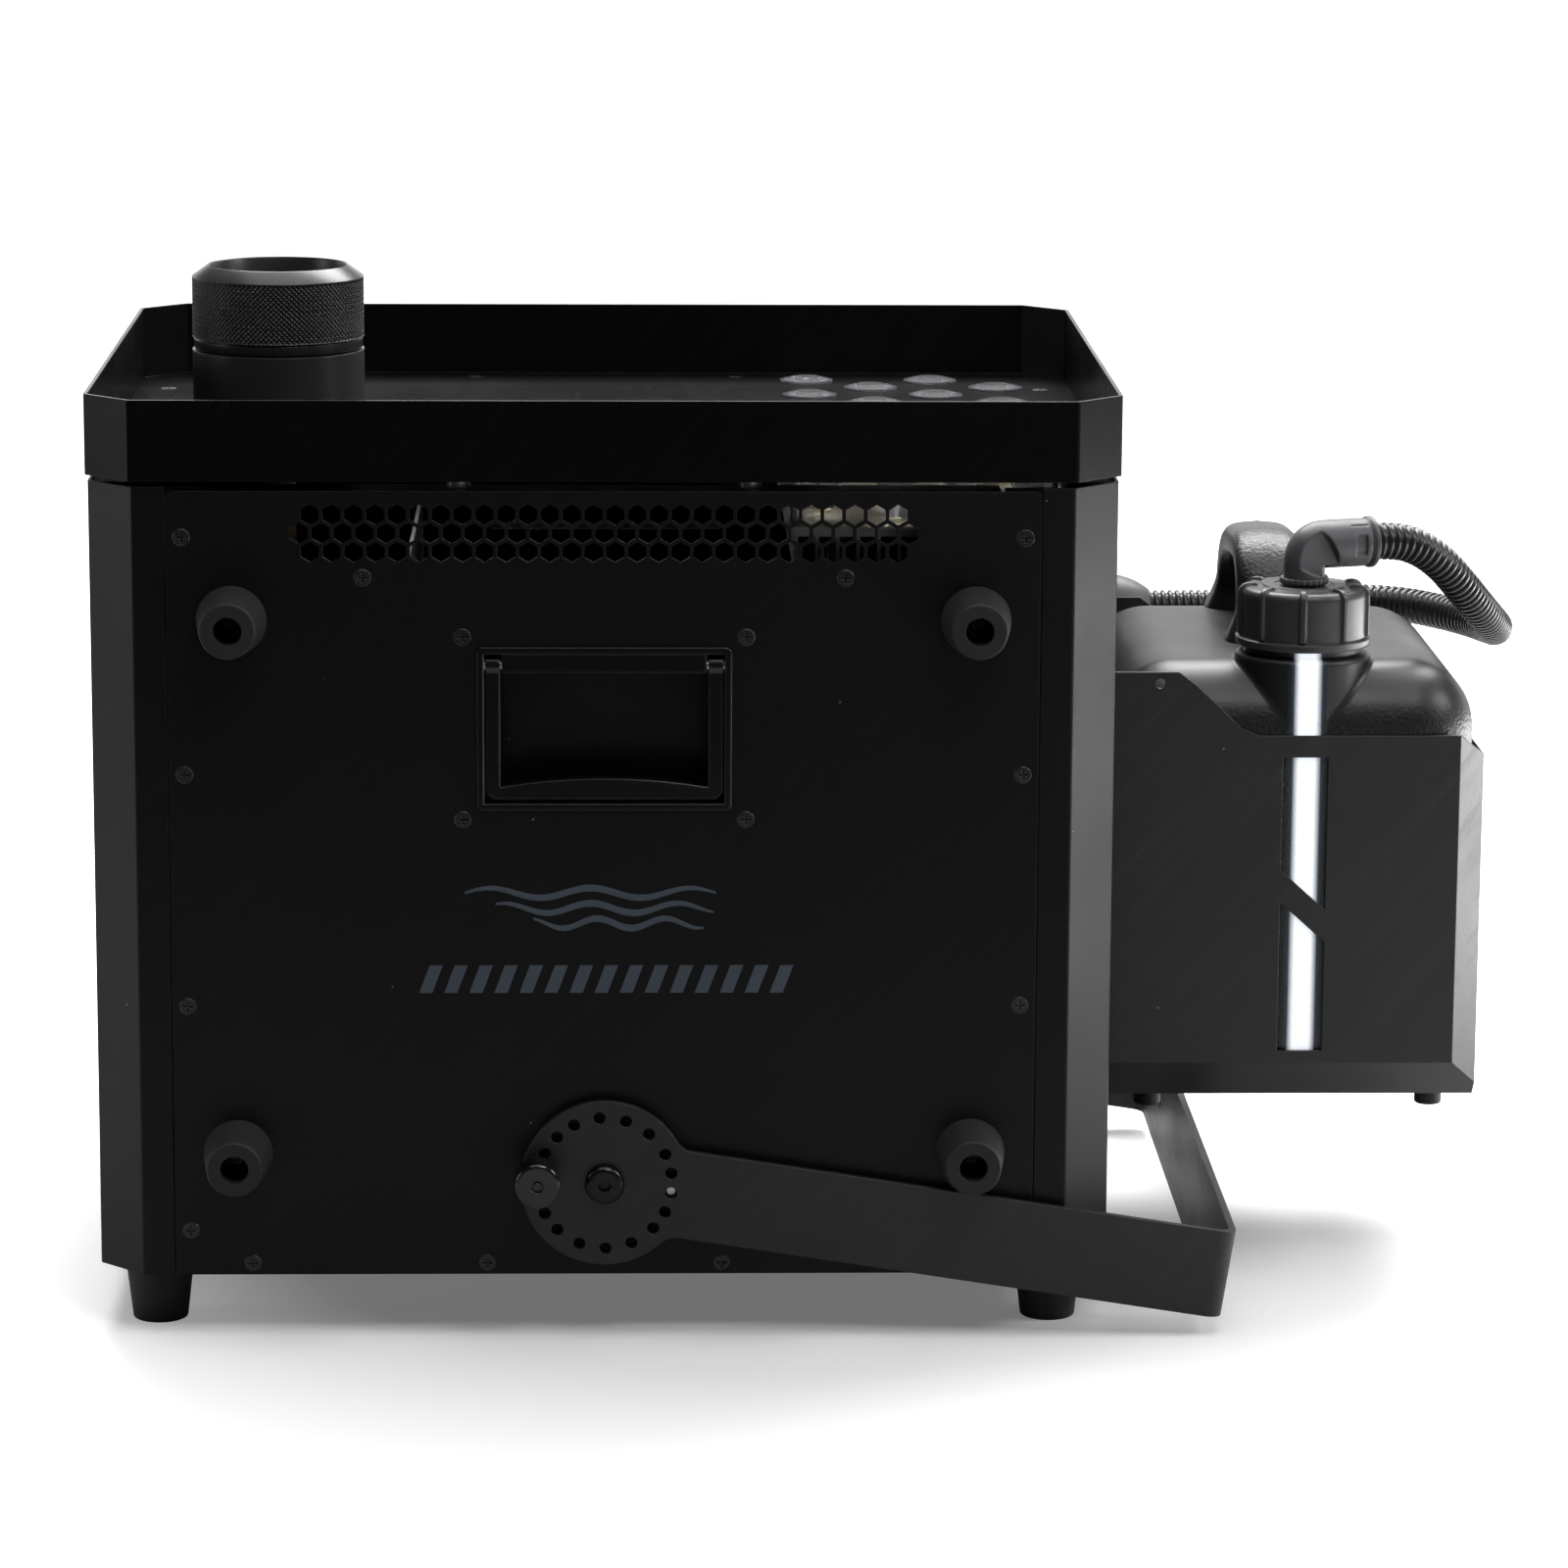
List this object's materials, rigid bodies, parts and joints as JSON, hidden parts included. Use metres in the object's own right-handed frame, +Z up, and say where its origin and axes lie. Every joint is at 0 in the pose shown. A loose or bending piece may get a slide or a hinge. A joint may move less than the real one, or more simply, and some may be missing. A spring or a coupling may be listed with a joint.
{
  "type": "fog machine",
  "caption": "Floor or truss fog machine: sheet-metal case with recessed flip handles, round top nozzle, LED tray, tilting stand bracket and a hose-fed fluid canister in a side cradle.",
  "frame": {"origin": "middle of the footprint, on the surface that the feet stand on, not counting the free hose", "axes": "+Z up, -Y out of the panel with the four side feet, +X towards the fluid canister"},
  "size_m": [0.633, 0.3822, 0.4407],
  "materials": {
    "casing_paint": "fine-textured satin black powder coat",
    "tray_paint": "satin black powder coat",
    "bracket_paint": "fine-textured satin black powder coat",
    "screw_black": "black zinc",
    "bolt_black": "black oxide",
    "bright_steel": "plain",
    "handle_plastic": "gloss black",
    "cup_plastic": "satin black",
    "foot_rubber": "matt black",
    "nozzle_black": "black anodised",
    "brass": "plain",
    "cast_aluminium": "as cast",
    "jacket_fabric": "woven glass cloth",
    "galvanised": "zinc plated",
    "lens_clear": "clear moulded",
    "board_tan": "bare board",
    "chip_white": "plain",
    "fan_plastic": "plain",
    "canister_plastic": "pebbled polyethylene",
    "cap_plastic": "satin polypropylene",
    "fitting_plastic": "satin nylon",
    "hose_black": "corrugated nylon conduit",
    "tube_clear": "silicone",
    "display_glass": "dark window",
    "button_plastic": "satin",
    "socket_plastic": "satin"
  },
  "bodies": {
    "root": {"base_tray": "casing_paint", "left_shell": "casing_paint", "right_shell": "casing_paint", "front_panel": "casing_paint", "rear_panel": "casing_paint", "panel_screws": "screw_black", "top_tray": "tray_paint", "tray_spacers": "bright_steel", "tray_screws": "screw_black", "handle_frames": "handle_plastic", "handle_cups": "cup_plastic", "handle_pins": "bright_steel", "side_feet": "foot_rubber", "base_feet": "foot_rubber", "foot_screws": "screw_black", "nozzle_sleeve": "nozzle_black", "outlet_pipe": "brass", "heater_block": "cast_aluminium", "heater_jacket": "jacket_fabric", "heater_legs": "galvanised", "heat_shield": "galvanised", "pump": "galvanised", "fluid_tubes": "tube_clear", "power_supply": "galvanised", "led_lenses": "lens_clear", "led_board": "board_tan", "led_chips": "chip_white", "led_heatsink": "cast_aluminium", "led_standoffs": "bright_steel", "fan_frames": "fan_plastic", "bracket_spacers": "fitting_plastic", "pivot_bolts": "bolt_black", "detent_pins": "bright_steel", "fluid_cradle": "bracket_paint", "cradle_bumpers": "foot_rubber", "cradle_screws": "bolt_black", "hose_gland": "fitting_plastic", "fluid_hose": "hose_black", "control_panel": "tray_paint", "display_window": "display_glass", "dmx_sockets": "socket_plastic", "power_sockets": "socket_plastic", "control_board": "board_tan"},
    "bracket": {"tilt_bracket": "bracket_paint", "plunger_barrel": "bolt_black"},
    "plunger": {"plunger_knob": "handle_plastic"},
    "front_bail": {"front_handle_bail": "handle_plastic"},
    "rear_bail": {"rear_handle_bail": "handle_plastic"},
    "collar": {"nozzle_collar": "nozzle_black"},
    "front_fan": {"front_fan_rotor": "fan_plastic"},
    "rear_fan": {"rear_fan_rotor": "fan_plastic"},
    "canister": {"canister": "canister_plastic", "hose_elbow": "fitting_plastic", "dip_tube": "tube_clear"},
    "cap": {"canister_cap": "cap_plastic"},
    "menu_key": {"menu_button": "button_plastic"},
    "down_key": {"down_button": "button_plastic"},
    "up_key": {"up_button": "button_plastic"},
    "enter_key": {"enter_button": "button_plastic"},
    "rocker": {"power_rocker": "button_plastic"}
  },
  "joints": [
    {"name": "bracket_tilt", "type": "hinge", "parent": "root", "child": "bracket", "pos_m": [-0.0815, 0.00875, 0.0689], "axis": [0, 1, 0], "range_deg": [0, 162]},
    {"name": "plunger_pull", "type": "slide", "parent": "bracket", "child": "plunger", "axis": [0, -1, 0], "range_m": [0, 0.006], "stiffness_N_per_m": 900},
    {"name": "front_bail_swing", "type": "hinge", "parent": "root", "child": "front_bail", "pos_m": [-0.0815, -0.15875, 0.291], "axis": [-1, 0, 0], "range_deg": [0, 90]},
    {"name": "rear_bail_swing", "type": "hinge", "parent": "root", "child": "rear_bail", "pos_m": [-0.0815, 0.17625, 0.291], "axis": [1, 0, 0], "range_deg": [0, 90]},
    {"name": "collar_turn", "type": "hinge", "parent": "root", "child": "collar", "pos_m": [-0.226, 0.00875, 0.422], "axis": [0, 0, 1], "continuous": true},
    {"name": "front_fan_spin", "type": "hinge", "parent": "root", "child": "front_fan", "pos_m": [0.056, -0.07125, 0.313], "axis": [0, 0, 1], "continuous": true},
    {"name": "rear_fan_spin", "type": "hinge", "parent": "root", "child": "rear_fan", "pos_m": [0.056, 0.08875, 0.313], "axis": [0, 0, 1], "continuous": true},
    {"name": "canister_lift", "type": "slide", "parent": "root", "child": "canister", "axis": [0, 0, 1], "range_m": [0, 0.06], "deforming": ["fluid_hose"]},
    {"name": "cap_turn", "type": "hinge", "parent": "canister", "child": "cap", "pos_m": [0.2235, -0.06275, 0.297], "axis": [0, 0, 1], "continuous": true},
    {"name": "power_rock", "type": "hinge", "parent": "root", "child": "rocker", "pos_m": [-0.2979, 0.00875, 0.103], "axis": [0, 0, 1], "range_deg": [0, 12]},
    {"name": "menu_press", "type": "slide", "parent": "root", "child": "menu_key", "axis": [1, 0, 0], "range_m": [0, 0.001], "stiffness_N_per_m": 400},
    {"name": "down_press", "type": "slide", "parent": "root", "child": "down_key", "axis": [1, 0, 0], "range_m": [0, 0.001], "stiffness_N_per_m": 400},
    {"name": "up_press", "type": "slide", "parent": "root", "child": "up_key", "axis": [1, 0, 0], "range_m": [0, 0.001], "stiffness_N_per_m": 400},
    {"name": "enter_press", "type": "slide", "parent": "root", "child": "enter_key", "axis": [1, 0, 0], "range_m": [0, 0.001], "stiffness_N_per_m": 400}
  ]
}
